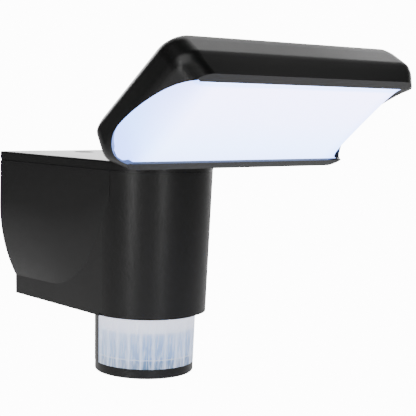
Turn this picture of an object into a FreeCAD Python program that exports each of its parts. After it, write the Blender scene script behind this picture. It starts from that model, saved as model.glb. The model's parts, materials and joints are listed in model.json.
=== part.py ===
# Solar flood light: a wall housing with a battery, a turning and tilting lamp head that carries
# the solar panel, and a swivelling motion sensor under the housing.
# Millimetres. Origin on the wall, in the middle of the housing's height. +Z up, -Y away from the wall.
import FreeCAD, Part
import math
import os
from FreeCAD import Vector

# ---- wall housing ----
housing_top = 52.2
housing_bottom = -52.2
seam_z = 45.8
drum_axis_y = -108.5
drum_radius_top = 41.8
drum_radius_bottom = 39.2
wall_half_width = 53.7
wall_gap = 0.3
shell_wall = 2.5
floor_wall = 4.2
cover_wall = 3.0
# the flared cheeks: their lower edge is a quarter ellipse on the keel's side, level near the wall
cheek_bottom = -39.5
cheek_level_y = -48.0
cheek_length = 70.0
cheek_arc_share = 0.602
cheek_steps = 18
cheek_last_angle = 76.5
post_places = [(45.5, -22.0), (-45.5, -22.0), (25.1, -133.6), (-25.1, -133.6)]
post_radius = 4.0
post_foot_z = 24.0

# ---- wall bracket ----
bracket_thickness = 3.0
bracket_hole_radius = 2.75
bracket_hole_dx = 56.0
bracket_hole_dz = 44.0
hook_x = 27.0
lock_screw_y = -10.0

# ---- button ----
button_x = 4.0
button_y = -22.0
button_radius = 7.0
button_travel = 1.2

# ---- battery and control board ----
cell_radius = 9.2
cell_length = 65.0
cell_foot_z = -36.0
cell_ys = [-32.0, -52.0, -72.0]
board_z = 35.0

# ---- neck: turns on the housing ----
disc_radius = 22.0
spigot_radius = 12.0
running_gap = 0.06
arm_half_width = 13.0
knuckle_half_width = 19.0
knuckle_radius = 6.6
hinge_pin_radius = 3.0

# ---- lamp head, drawn level: v is the distance forward, n the height, both from the head's own zero ----
head_tilt = 38.3
head_zero_z = -20.0
hinge_v = 92.5
hinge_n = 28.0
head_half_length = 96.8
head_front_corner = 13.0
head_back_corner = 10.5
head_back_v = 104.8
head_front_v = 201.0
head_wall = 2.5
ridge_length = 1.8
ridge_steps = 4
window_v0 = 118.6
window_v1 = 192.6
window_half_length = 85.0
lens_flat_half_length = 77.0
lens_wall = 2.0
# the rim outside the diffuser's curled ends hangs lower and further forward than the curl
rim_drop = 10.0
rim_slant = 1.12
# how far the tub reaches back behind the straight edge where it curls
tub_back_reach = 10.4
panel_v0 = 116.0
panel_v1 = 186.0
panel_half_length = 84.0
panel_top_n = 37.2

# ---- motion sensor: turns under the housing ----
sensor_axis_y = -105.0
sensor_seat_z = -50.4
flange_top_z = -50.8
flange_radius = 37.9
lens_top_z = -52.2
lens_bottom_z = -86.2
sensor_bottom_z = -93.0
sensor_radius_top = 34.7
sensor_radius_bottom = 34.1
cap_radius = 33.9
lens_half_angle = 104.0
sensor_lens_wall = 1.3
sensor_floor = 2.4
sensor_spigot_radius = 18.0
knob_radius = 5.0
knob_x = 13.0


def box(x0, x1, y0, y1, z0, z1):
    return Part.makeBox(x1 - x0, y1 - y0, z1 - z0, Vector(x0, y0, z0))


def rod(radius, x, y, z0, z1):
    return Part.makeCylinder(radius, z1 - z0, Vector(x, y, z0), Vector(0, 0, 1))


def rod_along_x(radius, x0, x1, y, z):
    return Part.makeCylinder(radius, x1 - x0, Vector(x0, y, z), Vector(1, 0, 0))


def tube(outer, inner, x, y, z0, z1):
    return rod(outer, x, y, z0, z1).cut(rod(inner, x, y, z0 - 1, z1 + 1))


def joined(first, others):
    return first.fuse(others).removeSplitter()


# ------------------------------------------------------------------ housing outline

def drum_radius(z):
    share = (housing_top - z) / (housing_top - housing_bottom)
    return drum_radius_top + (drum_radius_bottom - drum_radius_top) * share


def keel_wire(radius, z, back_y):
    left = Vector(-radius, drum_axis_y, z)
    right = Vector(radius, drum_axis_y, z)
    front = Vector(0, drum_axis_y - radius, z)
    back_right = Vector(radius, back_y, z)
    back_left = Vector(-radius, back_y, z)
    edges = [
        Part.LineSegment(back_right, right).toShape(),
        Part.Arc(right, front, left).toShape(),
        Part.LineSegment(left, back_left).toShape(),
        Part.LineSegment(back_left, back_right).toShape(),
    ]
    return Part.Wire(edges)


def keel_block(inset, z0, z1, back_y):
    # the round drum and the straight keel behind it, slightly wider at the top
    lower = keel_wire(drum_radius(z0) - inset, z0, back_y)
    upper = keel_wire(drum_radius(z1) - inset, z1, back_y)
    return Part.makeLoft([lower, upper], True, True)


def tangent_point(inset):
    # where the straight side of the plan outline meets the drum
    radius = drum_radius_top - inset
    half_width = wall_half_width - inset
    reach = math.hypot(half_width, drum_axis_y)
    angle = math.atan2(-drum_axis_y, half_width) - math.acos(radius / reach)
    return radius * math.cos(angle), drum_axis_y + radius * math.sin(angle)


def cheek_half_width(y):
    tangent_x, tangent_y = tangent_point(0.0)
    return wall_half_width + (tangent_x - wall_half_width) * y / tangent_y


def cheek_bottom_z(y):
    if y >= cheek_level_y:
        return cheek_bottom
    share = min(1.0, (cheek_level_y - y) / cheek_length)
    return housing_top - (housing_top - cheek_bottom) * math.sqrt(1.0 - share * share)


def cheek_wire(y, inset):
    low = cheek_bottom_z(y) + inset
    height = housing_top - low
    bend_z = low + height * cheek_arc_share
    lean = (drum_radius_top - drum_radius_bottom) / (housing_top - housing_bottom) * y / drum_axis_y
    top_x = cheek_half_width(y) - inset
    bend_x = top_x - lean * (housing_top - bend_z)
    low_x = drum_radius(low) - inset - 0.4
    drop = bend_z - low
    step = bend_x - low_x
    arc_radius = (drop * drop + step * step) / (2.0 * step)
    half_drop = drop / 2.0
    mid_x = bend_x - arc_radius + math.sqrt(arc_radius * arc_radius - half_drop * half_drop)
    points = [
        Vector(top_x, y, housing_top),
        Vector(bend_x, y, bend_z),
        Vector(mid_x, y, bend_z - half_drop),
        Vector(low_x, y, low),
    ]
    mirrored = [Vector(-p.x, p.y, p.z) for p in points]
    edges = [
        Part.LineSegment(points[0], points[1]).toShape(),
        Part.Arc(points[1], points[2], points[3]).toShape(),
        Part.LineSegment(points[3], mirrored[3]).toShape(),
        Part.Arc(mirrored[3], mirrored[2], mirrored[1]).toShape(),
        Part.LineSegment(mirrored[1], mirrored[0]).toShape(),
        Part.LineSegment(mirrored[0], points[0]).toShape(),
    ]
    return Part.Wire(edges)


def cheek_block(inset):
    stations = [0.0, cheek_level_y / 2]
    for step in range(cheek_steps + 1):
        angle = math.radians(cheek_last_angle * step / cheek_steps)
        stations.append(cheek_level_y - cheek_length * math.sin(angle))
    return Part.makeLoft([cheek_wire(y, inset) for y in stations], True, True)


def body_block(inset, z0, z1, back_y):
    block = keel_block(inset, z0, z1, 0.0).fuse(cheek_block(inset))
    return block.common(box(-80, 80, -180, back_y, z0, z1))


def cover_wire(inset, z):
    tangent_x, tangent_y = tangent_point(inset)
    half_width = wall_half_width - inset
    front = Vector(0, drum_axis_y - drum_radius_top + inset, z)
    right = Vector(tangent_x, tangent_y, z)
    left = Vector(-tangent_x, tangent_y, z)
    back_right = Vector(half_width, 0, z)
    back_left = Vector(-half_width, 0, z)
    edges = [
        Part.LineSegment(back_right, right).toShape(),
        Part.Arc(right, front, left).toShape(),
        Part.LineSegment(left, back_left).toShape(),
        Part.LineSegment(back_left, back_right).toShape(),
    ]
    return Part.Wire(edges)


def cover_block(inset, z0, z1, back_y):
    block = Part.Face(cover_wire(inset, z0)).extrude(Vector(0, 0, z1 - z0))
    return block.common(box(-80, 80, -180, back_y, z0, z1))


# ------------------------------------------------------------------ housing parts

def housing_body():
    shell = body_block(0.0, housing_bottom, seam_z, -wall_gap)
    hollow = body_block(shell_wall, housing_bottom + floor_wall, seam_z + 1.0, 0.0)
    shell = shell.cut(hollow)
    posts = []
    for x, y in post_places:
        post = rod(post_radius, x, y, post_foot_z, seam_z)
        posts.append(post)
    foot = rod(6.0, 0, lock_screw_y, housing_bottom, -46.4)
    shell = shell.fuse(posts + [foot])
    outside = body_block(0.0, housing_bottom, seam_z, -wall_gap)
    shell = shell.common(outside)
    holes = [rod(1.7, x, y, post_foot_z - 1, seam_z + 1) for x, y in post_places]
    holes.append(rod(sensor_spigot_radius + running_gap, 0, sensor_axis_y, housing_bottom - 1, -45))
    holes.append(rod(2.2, 0, lock_screw_y, housing_bottom - 1, -45))
    holes.append(rod(4.2, 0, lock_screw_y, housing_bottom - 1, housing_bottom + 2.6))
    holes.append(rod(flange_radius + 0.5, 0, sensor_axis_y, housing_bottom - 1, sensor_seat_z))
    holes.append(box(-60, 60, -200, sensor_axis_y, housing_bottom - 1, sensor_seat_z))
    return shell.cut(holes).removeSplitter()


def top_cover():
    lip = cover_block(0.7, seam_z, seam_z + 0.7, -wall_gap)
    slab = cover_block(0.0, seam_z + 0.7, housing_top, -wall_gap)
    rim = [e for e in slab.Edges if e.BoundBox.ZMin > housing_top - 0.01 and e.BoundBox.YMin < -1.0]
    slab = slab.makeFillet(1.1, rim)
    inner_top = housing_top - cover_wall
    cover = slab.fuse(lip).cut(cover_block(shell_wall + 0.4, seam_z - 1, inner_top, 0.0))
    bosses = [rod(post_radius, x, y, seam_z, inner_top) for x, y in post_places]
    cover = cover.fuse(bosses)
    cover = cover.common(cover_block(0.7, seam_z, seam_z + 0.7, -wall_gap).fuse(slab))
    holes = [rod(1.55, x, y, seam_z - 1, housing_top - 1.2) for x, y in post_places]
    holes.append(rod(button_radius + 0.3, button_x, button_y, seam_z, housing_top + 1))
    holes.append(rod(spigot_radius + running_gap, 0, drum_axis_y, seam_z, housing_top + 1))
    return cover.cut(holes).removeSplitter()


def cover_screws():
    screws = []
    for x, y in post_places:
        head = rod(2.8, x, y, post_foot_z - 2.0, post_foot_z)
        shank = rod(1.5, x, y, post_foot_z, seam_z + 4.2)
        screws.append(head.fuse(shank))
    return Part.makeCompound(screws)


def back_panel():
    y_back, y_front = -4.6, -7.0
    panel = body_block(shell_wall + 0.6, -47.8, seam_z - 0.3, 0.0)
    panel = panel.common(box(-80, 80, y_front, y_back, -60, 60))
    cuts = [box(-11, 11, y_front - 1, y_back + 1, -60, -38.0)]
    for side in (-1, 1):
        x = side * hook_x
        cuts.append(box(x - 5.5, x + 5.5, y_front - 1, y_back + 1, 25.5, 34.5))
    return panel.cut(cuts)


def wall_bracket():
    plate = body_block(shell_wall + 0.9, -47.6, seam_z - 1.2, 0.0)
    plate = plate.common(box(-80, 80, -bracket_thickness, 0, -60, 60))
    extra = [box(-9, 9, -16, 0, -46.2, -41.0)]
    for side in (-1, 1):
        x = side * hook_x
        extra.append(box(x - 4.5, x + 4.5, -9.5, 0, 26.5, 29.5))
        extra.append(box(x - 4.5, x + 4.5, -9.5, -7.4, 26.5, 33.5))
    plate = joined(plate, extra)
    holes = [rod(2.0, 0, lock_screw_y, -50, -40)]
    for sx in (-1, 1):
        for sz in (-1, 1):
            start = Vector(sx * bracket_hole_dx / 2, -20, sz * bracket_hole_dz / 2)
            holes.append(Part.makeCylinder(bracket_hole_radius, 30, start, Vector(0, 1, 0)))
    return plate.cut(holes)


def lock_screw():
    head = rod(3.8, 0, lock_screw_y, housing_bottom + 0.2, housing_bottom + 2.6)
    shank = rod(1.95, 0, lock_screw_y, housing_bottom + 2.6, -39.5)
    slot = box(-4, 4, lock_screw_y - 0.5, lock_screw_y + 0.5, housing_bottom - 1, housing_bottom + 1.2)
    return head.fuse(shank).cut(slot)


def battery_cell(y):
    can = rod(cell_radius, 0, y, cell_foot_z, cell_foot_z + cell_length - 1.2)
    tip = rod(3.0, 0, y, cell_foot_z + cell_length - 1.2, cell_foot_z + cell_length)
    return can.fuse(tip)


def battery_cells():
    return Part.makeCompound([battery_cell(y) for y in cell_ys])


def battery_holder():
    y_near, y_far = cell_ys[0] + 11.5, cell_ys[-1] - 11.5
    cell_top = cell_foot_z + cell_length
    base = box(-11.5, 13, y_far, y_near, cell_foot_z - 3, cell_foot_z + 5)
    head = box(-11.5, 13, y_far, y_near, cell_top - 5, cell_top + 2)
    side = box(9.8, 13, y_far, y_near, cell_foot_z, cell_top)
    legs = []
    for x in (-9.5, 9.0):
        for y in (y_far + 4, y_near - 4):
            legs.append(rod(2.5, x, y, housing_bottom + floor_wall, cell_foot_z))
            legs.append(rod(2.0, x, y, cell_top, board_z))
    holder = joined(base, [head, side] + legs)
    wells = [rod(cell_radius + 0.2, 0, y, cell_foot_z, cell_top) for y in cell_ys]
    wells.append(box(-3, 3, y_far + 2, y_near - 2, cell_top - 1, cell_top + 3))
    return holder.cut(wells)


def cell_contacts():
    strips = []
    cell_top = cell_foot_z + cell_length
    for first, last in ((cell_ys[0], cell_ys[1]), (cell_ys[2] - 6, cell_ys[2] + 6)):
        low, high = min(first, last), max(first, last)
        strips.append(box(-2.5, 2.5, low, high, cell_top, cell_top + 0.4))
    return Part.makeCompound(strips)


def control_board():
    board = box(-26, 26, -88, -14, board_z, board_z + 1.6)
    holes = []
    for x in (-9.5, 9.0):
        for y in (cell_ys[-1] - 7.5, cell_ys[0] + 7.5):
            holes.append(rod(1.3, x, y, board_z - 1, board_z + 3))
    return board.cut(holes)


def board_parts():
    top = board_z + 1.6
    pieces = [
        box(-20, -10, -50, -40, top, top + 1.2),
        box(12, 20, -66, -54, top, top + 5.5),
        rod(4.0, -16, -68, top, top + 8.5),
        box(-22, -12, -84, -78, top, top + 6.0),
        box(12, 22, -84, -78, top, top + 6.0),
        box(-6, 4, -64, -56, top, top + 1.5),
    ]
    return Part.makeCompound(pieces)


def button_switch():
    top = board_z + 1.6
    return box(button_x - 3, button_x + 3, button_y - 3, button_y + 3, top, top + 3.4)


def mode_button():
    cap = rod(button_radius, button_x, button_y, 49.5, 52.4)
    rim = [e for e in cap.Edges if e.BoundBox.ZMin > 52.3]
    cap = cap.makeFillet(0.6, rim)
    flange = rod(button_radius + 1.6, button_x, button_y, 47.4, housing_top - cover_wall - 0.3)
    neck = rod(button_radius - 0.2, button_x, button_y, 48.5, 50.0)
    stem = rod(2.4, button_x, button_y, board_z + 1.6 + 3.4 + button_travel + 0.2, 48.0)
    return joined(cap, [flange, neck, stem])


# ------------------------------------------------------------------ neck

def hinge_place():
    angle = math.radians(head_tilt)
    y = drum_axis_y - math.cos(angle) * hinge_v + math.sin(angle) * hinge_n
    z = head_zero_z + math.sin(angle) * hinge_v + math.cos(angle) * hinge_n
    return y, z


def neck_arm():
    hinge_y, hinge_z = hinge_place()
    disc = rod(disc_radius, 0, drum_axis_y, housing_top + 0.4, 56.6)
    rim = [e for e in disc.Edges if e.BoundBox.ZMin > 56.5]
    disc = disc.makeFillet(1.0, rim)
    spigot = rod(spigot_radius, 0, drum_axis_y, 41.0, 54.0)
    low = hinge_z - knuckle_radius
    points = [
        Vector(-arm_half_width, drum_axis_y + 10, housing_top + 1.0),
        Vector(-arm_half_width, drum_axis_y + 10, 60.0),
        Vector(-arm_half_width, drum_axis_y + 4, 63.5),
        Vector(-arm_half_width, hinge_y, hinge_z + knuckle_radius),
        Vector(-arm_half_width, hinge_y, low),
    ]
    profile = Part.makePolygon(points + [points[0]])
    beam = Part.Face(profile).extrude(Vector(2 * arm_half_width, 0, 0))
    knuckle = rod_along_x(knuckle_radius, -knuckle_half_width, knuckle_half_width, hinge_y, hinge_z)
    arm = joined(disc, [spigot, beam, knuckle])
    bore = rod_along_x(hinge_pin_radius + running_gap, -40, 40, hinge_y, hinge_z)
    duct = rod(7.0, 0, drum_axis_y, 40, 59.0)
    return arm.cut([bore, duct])


def neck_nut():
    return tube(19.0, spigot_radius, 0, drum_axis_y, 44.2, housing_top - cover_wall - 0.9)


def neck_washer():
    return tube(17.0, spigot_radius + 0.3, 0, drum_axis_y, housing_top - cover_wall - 0.7,
                housing_top - cover_wall)


# ------------------------------------------------------------------ lamp head

def place_head(shape):
    # lifts the level drawing into its rest tilt
    turned = shape.copy()
    turned.rotate(Vector(0, 0, 0), Vector(1, 0, 0), -head_tilt)
    turned.translate(Vector(0, drum_axis_y, head_zero_z))
    return turned


def head_box(half_length, v0, v1, n0, n1):
    return box(-half_length, half_length, -v1, -v0, n0, n1)


def head_wire(half_length, back, front, n, inset):
    # a rounded rectangle in plan at height n
    corners = [(1, 1, head_back_corner), (1, -1, head_front_corner),
               (-1, -1, head_front_corner), (-1, 1, head_back_corner)]
    arcs = []
    for side, end, corner in corners:
        radius = corner - inset
        x = side * (half_length - radius)
        y = -back - radius if end > 0 else -front + radius
        first = Vector(x, y + end * radius, n)
        middle = Vector(x + side * radius * math.sqrt(0.5), y + end * radius * math.sqrt(0.5), n)
        last = Vector(x + side * radius, y, n)
        points = [first, middle, last] if side * end > 0 else [last, middle, first]
        arcs.append(points)
    edges = []
    for points, following in zip(arcs, arcs[1:] + arcs[:1]):
        edges.append(Part.Arc(*points).toShape())
        edges.append(Part.LineSegment(points[2], following[0]).toShape())
    return Part.Wire(edges)


def head_levels():
    # outer form by height: (height, half length, back, front), with rounded ridges between the bevels
    ridges = [
        (3.4, head_half_length - 6.5, head_back_v + 7.5, head_front_v - 1.6),
        (15.0, head_half_length - 0.5, head_back_v, head_front_v - 0.4),
        (20.0, head_half_length, head_back_v, head_front_v),
        (33.0, head_half_length - 1.2, head_back_v + 0.4, head_front_v - 4.9),
        (37.4, head_half_length - 5.0, head_back_v + 5.0, head_front_v - 6.8),
        (37.4, head_half_length - 9.0, head_back_v + 9.0, head_front_v - 10.8),
    ]
    levels = [ridges[0]]
    for before, ridge, after in zip(ridges, ridges[1:], ridges[2:]):
        start = blended(ridge, before, min(0.45, ridge_length / level_distance(ridge, before)))
        end = blended(ridge, after, min(0.45, ridge_length / level_distance(ridge, after)))
        for step in range(ridge_steps + 1):
            share = step / ridge_steps
            levels.append(blended(blended(start, ridge, share), blended(ridge, end, share), share))
    return levels


def blended(first, second, share):
    return tuple(a + (b - a) * share for a, b in zip(first, second))


def level_distance(first, second):
    return math.hypot(second[0] - first[0], second[3] - first[3])


def head_block(inset, n_low, n_high):
    wires = []
    for height, half, back, front in head_levels():
        wires.append(head_wire(half - inset, back + inset, front - inset, height, inset))
    block = Part.makeLoft(wires, True, True)
    return block.common(head_box(120, 90, 210, n_low, n_high))


def underside_cutter():
    # the head's lower rim rises a little towards the front
    profile = [(90, 2.6), (210, 6.4), (210, -10), (90, -10)]
    points = [Vector(-120, -v, n) for v, n in profile]
    return Part.Face(Part.makePolygon(points + [points[0]])).extrude(Vector(240, 0, 0))


def arch_points():
    # the lamp window's edge at the head's ends as (v, n): low at the front, high at the back
    return [(118.8, 5.0), (112.4, 14.0), (110.2, 22.0), (114.5, 28.0),
            (126.0, 29.6), (150.0, 25.8), (174.0, 17.9), (192.4, 6.9)]


def window_points(x, rise, inset):
    # rise 0 gives the flat underside, rise 1 the full arch
    arch = arch_points()
    start, end = arch[0], arch[-1]
    points = []
    for index, (v, n) in enumerate(arch):
        share = index / (len(arch) - 1)
        flat_v = start[0] + inset + (end[0] - start[0] - 2 * inset) * share
        flat_n = start[1] + (end[1] - start[1]) * share
        bent_v = v + inset * (1 - 2 * share)
        points.append(Vector(x, -(bent_v * rise + flat_v * (1 - rise)), n * rise + flat_n * (1 - rise) + inset))
    return points


def window_wire(x, rise, inset, top_n):
    points = window_points(x, rise, inset)
    curve = Part.BSplineCurve()
    curve.interpolate(points)
    # the tub's back reaches further back where the arch bulges behind the straight edge
    back_y = points[0].y + 0.4 + (tub_back_reach - 0.3 * inset) * rise
    back_low = Vector(x, back_y, points[0].z)
    back_top = Vector(x, back_y, top_n)
    front_top = Vector(x, points[-1].y, top_n)
    edges = [
        curve.toShape(),
        Part.LineSegment(points[-1], front_top).toShape(),
        Part.LineSegment(front_top, back_top).toShape(),
        Part.LineSegment(back_top, back_low).toShape(),
        Part.LineSegment(back_low, points[0]).toShape(),
    ]
    return Part.Wire(edges)


def window_block(inset, top_n):
    # flat in the middle, curling up to the arch at both ends
    end_x = window_half_length - inset
    flat_x = lens_flat_half_length
    middle = Part.Face(window_wire(-flat_x, 0.0, inset, top_n)).extrude(Vector(2 * flat_x, 0, 0))
    ends = []
    for side in (-1, 1):
        wires = []
        for step in (0.0, 0.2, 0.4, 0.56, 0.7, 0.82, 0.92, 1.0):
            rise = 1 - math.sqrt(1 - step * step)
            wires.append(window_wire(side * (flat_x + (end_x - flat_x) * step), rise, inset, top_n))
        ends.append(Part.makeLoft(wires, True, True))
    return middle.fuse(ends)


def arch_wire(x, spread, drop):
    # the arch's outline at x, moved down by drop and forward a little more, less so at its back end
    points = []
    for index, (v, n) in enumerate(arch_points()):
        forward = drop * rim_slant * min(1.0, 0.3 + 0.3 * index)
        points.append(Vector(x, -v - forward, n + spread - drop))
    points[0] = points[0] + Vector(0, spread, 0)
    points[-1] = points[-1] - Vector(0, spread, 0)
    curve = Part.BSplineCurve()
    curve.interpolate(points)
    low_front = Vector(x, points[-1].y, -20)
    low_back = Vector(x, points[0].y, -20)
    edges = [
        curve.toShape(),
        Part.LineSegment(points[-1], low_front).toShape(),
        Part.LineSegment(low_front, low_back).toShape(),
        Part.LineSegment(low_back, points[0]).toShape(),
    ]
    return Part.Wire(edges)


def arch_prism(x0, x1, spread):
    # everything under the arch, from x0 to x1
    return Part.Face(arch_wire(x0, spread, 0)).extrude(Vector(x1 - x0, 0, 0))


def rim_opening(side, spread):
    # the opening narrows from the diffuser's end to the outside, which makes a hanging rim
    inner = arch_wire(side * (window_half_length + 0.3), spread, 0)
    outer = arch_wire(side * (head_half_length + 1), spread, rim_drop)
    return Part.makeLoft([inner, outer], True, True)


def spreader_posts():
    return [(sx * 62.0, v) for sx in (-1, 1) for v in (131.0, 177.0)]


def bracket_screw_places():
    return [(sx * 15.6, n) for sx in (-1, 1) for n in (20.5, 29.0)]


def rod_along_v(radius, x, n, v0, v1):
    return Part.makeCylinder(radius, v1 - v0, Vector(x, -v0, n), Vector(0, -1, 0))


def head_shell():
    shell = head_block(0.0, 3.4, 37.4)
    roofs = [rim_opening(side, 2.4) for side in (-1, 1)]
    hollow = head_block(head_wall, 8.2, 31.8).cut(roofs)
    cuts = [hollow, underside_cutter()]
    end_x = window_half_length + 0.3
    cuts.append(arch_prism(lens_flat_half_length - 1, end_x, 0.2))
    cuts.append(arch_prism(-end_x, -lens_flat_half_length + 1, 0.2))
    cuts.extend([rim_opening(side, 0.2) for side in (-1, 1)])
    cuts.append(head_box(lens_flat_half_length, window_v0, window_v1, -5, 12))
    cuts.append(head_box(panel_half_length + 0.4, panel_v0 - 0.4, panel_v1 + 0.4, 33.8, 40))
    cuts.append(rod(4.0, 0, -(panel_v0 + 10), 30, 40))
    shell = shell.cut(cuts)
    posts = [rod(4.0, x, -v, 24.0, 32.5) for x, v in spreader_posts()]
    shell = shell.fuse(posts)
    holes = [rod(1.55, x, -v, 20, 31.0) for x, v in spreader_posts()]
    for x, n in bracket_screw_places():
        holes.append(rod_along_v(1.55, x, n, 100, 110))
    return shell.cut(holes).removeSplitter()


def diffuser():
    tub = window_block(0.0, 30.6).cut(window_block(lens_wall, 33.0))
    profile = [(100, -2), (100, 30.6), (150, 30.6), (194, 11.5), (194, -2)]
    points = [Vector(-90, -v, n) for v, n in profile]
    keep = Part.Face(Part.makePolygon(points + [points[0]])).extrude(Vector(180, 0, 0))
    tub = tub.common(keep).cut(head_shell())
    return max(tub.Solids, key=lambda piece: piece.Volume)


def hinge_bracket():
    plate = head_box(27.0, 101.6, head_back_v, 17.5, 32.4)
    ears = []
    for side in (-1, 1):
        x0 = side * 23.2 - 3.0
        profile = [(hinge_v, hinge_n + 6.4), (102.0, 32.4), (102.0, 17.5), (hinge_v, hinge_n - 6.4)]
        points = [Vector(x0, -v, n) for v, n in profile]
        web = Part.Face(Part.makePolygon(points + [points[0]])).extrude(Vector(6, 0, 0))
        ears.append(web)
        ears.append(rod_along_x(6.4, x0, x0 + 6, -hinge_v, hinge_n))
    bracket = joined(plate, ears)
    holes = [rod_along_x(hinge_pin_radius + running_gap, -40, 40, -hinge_v, hinge_n)]
    for x, n in bracket_screw_places():
        holes.append(rod_along_v(1.7, x, n, 100, 106))
    return bracket.cut(holes)


def bracket_screws():
    screws = []
    for x, n in bracket_screw_places():
        screws.append(rod_along_v(2.6, x, n, 100.0, 101.6).fuse(rod_along_v(1.5, x, n, 101.6, 109.5)))
    return Part.makeCompound(screws)


def hinge_bolt():
    shank = rod_along_x(hinge_pin_radius, -30.0, 26.2, -hinge_v, hinge_n)
    head = rod_along_x(5.4, 26.2, 29.4, -hinge_v, hinge_n)
    bolt = joined(shank, [head])
    return bolt.cut(box(28.2, 30, -hinge_v - 0.6, -hinge_v + 0.6, hinge_n - 6, hinge_n + 6))


def hinge_nut():
    points = []
    for corner in range(7):
        angle = math.radians(60 * corner)
        points.append(Vector(-29.2, -hinge_v + 5.5 * math.cos(angle), hinge_n + 5.5 * math.sin(angle)))
    nut = Part.Face(Part.makePolygon(points)).extrude(Vector(3.0, 0, 0))
    return nut.cut(rod_along_x(hinge_pin_radius + running_gap, -31, -25, -hinge_v, hinge_n))


def hinge_washers():
    washers = []
    for x0 in (-20.1, 19.1):
        outer = rod_along_x(6.2, x0, x0 + 1.0, -hinge_v, hinge_n)
        inner = rod_along_x(hinge_pin_radius + running_gap, x0 - 1, x0 + 2, -hinge_v, hinge_n)
        washers.append(outer.cut(inner))
    return Part.makeCompound(washers)


def panel_seal():
    outer = head_box(panel_half_length, panel_v0, panel_v1, 33.8, 34.4)
    return outer.cut(head_box(panel_half_length - 2, panel_v0 + 2, panel_v1 - 2, 33, 35))


def panel_backing():
    return head_box(panel_half_length, panel_v0, panel_v1, 34.4, 35.0)


def solar_cells():
    cells = []
    columns, rows = 6, 2
    pitch_x = (2 * panel_half_length - 4) / columns
    pitch_v = (panel_v1 - panel_v0 - 4) / rows
    for column in range(columns):
        for row in range(rows):
            x0 = -panel_half_length + 2 + column * pitch_x + 0.6
            v0 = panel_v0 + 2 + row * pitch_v + 0.6
            cells.append(box(x0, x0 + pitch_x - 1.2, -(v0 + pitch_v - 1.2), -v0, 35.0, 35.4))
    return Part.makeCompound(cells)


def panel_glass():
    return head_box(panel_half_length, panel_v0, panel_v1, 35.4, panel_top_n)


def chip_places():
    return [(-57.5 + 11.5 * column, v) for column in range(11) for v in (140.0, 154.0, 168.0)]


def reflector_tray():
    tray = head_box(73.5, 121.4, 189.8, 9.8, 20.4)
    cuts = [head_box(71.5, 123.4, 187.8, 8, 19.4)]
    for x, v in chip_places():
        cuts.append(box(x - 2.2, x + 2.2, -v - 2.2, -v + 2.2, 18, 22))
    for x, v in spreader_posts():
        cuts.append(rod(1.7, x, -v, 18, 22))
    return tray.cut(cuts)


def led_chips():
    chips = [box(x - 1.75, x + 1.75, -v - 1.75, -v + 1.75, 19.6, 20.4) for x, v in chip_places()]
    return Part.makeCompound(chips)


def led_board():
    board = head_box(70.0, 124.0, 186.0, 20.4, 22.0)
    return board.cut([rod(1.7, x, -v, 19, 23) for x, v in spreader_posts()])


def heat_spreader():
    plate = head_box(72.0, 122.5, 187.5, 22.0, 24.0)
    return plate.cut([rod(1.7, x, -v, 21, 25) for x, v in spreader_posts()])


def spreader_screws():
    screws = []
    for x, v in spreader_posts():
        screws.append(rod(2.8, x, -v, 17.7, 19.4).fuse(rod(1.5, x, -v, 19.4, 29.0)))
    return Part.makeCompound(screws)


# ------------------------------------------------------------------ motion sensor

def sector(radius, start, end, z0, z1):
    # a pie slice about the sensor's axis, angles from +X
    centre = Vector(0, sensor_axis_y, z0)
    steps = [math.radians(start + (end - start) * share) for share in (0.0, 0.5, 1.0)]
    rim = [centre + Vector(radius * math.cos(a), radius * math.sin(a), 0) for a in steps]
    edges = [
        Part.LineSegment(centre, rim[0]).toShape(),
        Part.Arc(rim[0], rim[1], rim[2]).toShape(),
        Part.LineSegment(rim[2], centre).toShape(),
    ]
    return Part.Face(Part.Wire(edges)).extrude(Vector(0, 0, z1 - z0))


def sensor_cone(inset, z0, z1):
    slope = (sensor_radius_top - sensor_radius_bottom) / (lens_top_z - lens_bottom_z)
    low = sensor_radius_bottom + slope * (z0 - lens_bottom_z) - inset
    high = sensor_radius_bottom + slope * (z1 - lens_bottom_z) - inset
    return Part.makeCone(low, high, z1 - z0, Vector(0, sensor_axis_y, z0), Vector(0, 0, 1))


def frame_posts():
    return [(-21.0, sensor_axis_y + 21.0), (21.0, sensor_axis_y + 21.0)]


def sensor_frame():
    flange = rod(flange_radius, 0, sensor_axis_y, lens_top_z, flange_top_z)
    spigot = rod(sensor_spigot_radius, 0, sensor_axis_y, lens_top_z + 0.2, -43.6)
    high = lens_top_z + 0.5
    back = sensor_cone(0.0, lens_bottom_z, high).cut(sensor_cone(2.6, lens_bottom_z - 1, high + 1))
    half_open = 180 - lens_half_angle - 0.4
    back = back.common(sector(60, 90 - half_open, 90 + half_open, lens_bottom_z, high))
    extra = [spigot, back]
    for x, y in frame_posts():
        extra.append(rod(3.5, x, y, lens_bottom_z, high))
        extra.append(box(x - 1, x + 1, sensor_axis_y + 5.8, y, lens_bottom_z + 3, high))
    frame = joined(flange, extra)
    holes = [rod(13.0, 0, sensor_axis_y, lens_top_z - 1, -40)]
    for x, y in frame_posts():
        holes.append(rod(1.45, x, y, lens_bottom_z - 1, lens_bottom_z + 8))
    angle = math.radians(258.0)
    notch_x = flange_radius * math.cos(angle)
    notch_y = sensor_axis_y + flange_radius * math.sin(angle)
    holes.append(rod(0.9, notch_x, notch_y, lens_top_z - 1, flange_top_z + 1))
    return frame.cut(holes)


def sensor_lens():
    wall = sensor_cone(0.0, lens_bottom_z, lens_top_z)
    wall = wall.cut(sensor_cone(sensor_lens_wall, lens_bottom_z - 1, lens_top_z + 1))
    return wall.common(sector(60, 270 - lens_half_angle, 270 + lens_half_angle, lens_bottom_z, lens_top_z))


def knob_places():
    return [(-knob_x, sensor_axis_y - 10.0), (knob_x, sensor_axis_y - 10.0)]


def cap_pillars():
    return [(0.0, sensor_axis_y - 15.0), (0.0, sensor_axis_y - 4.0)]


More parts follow.
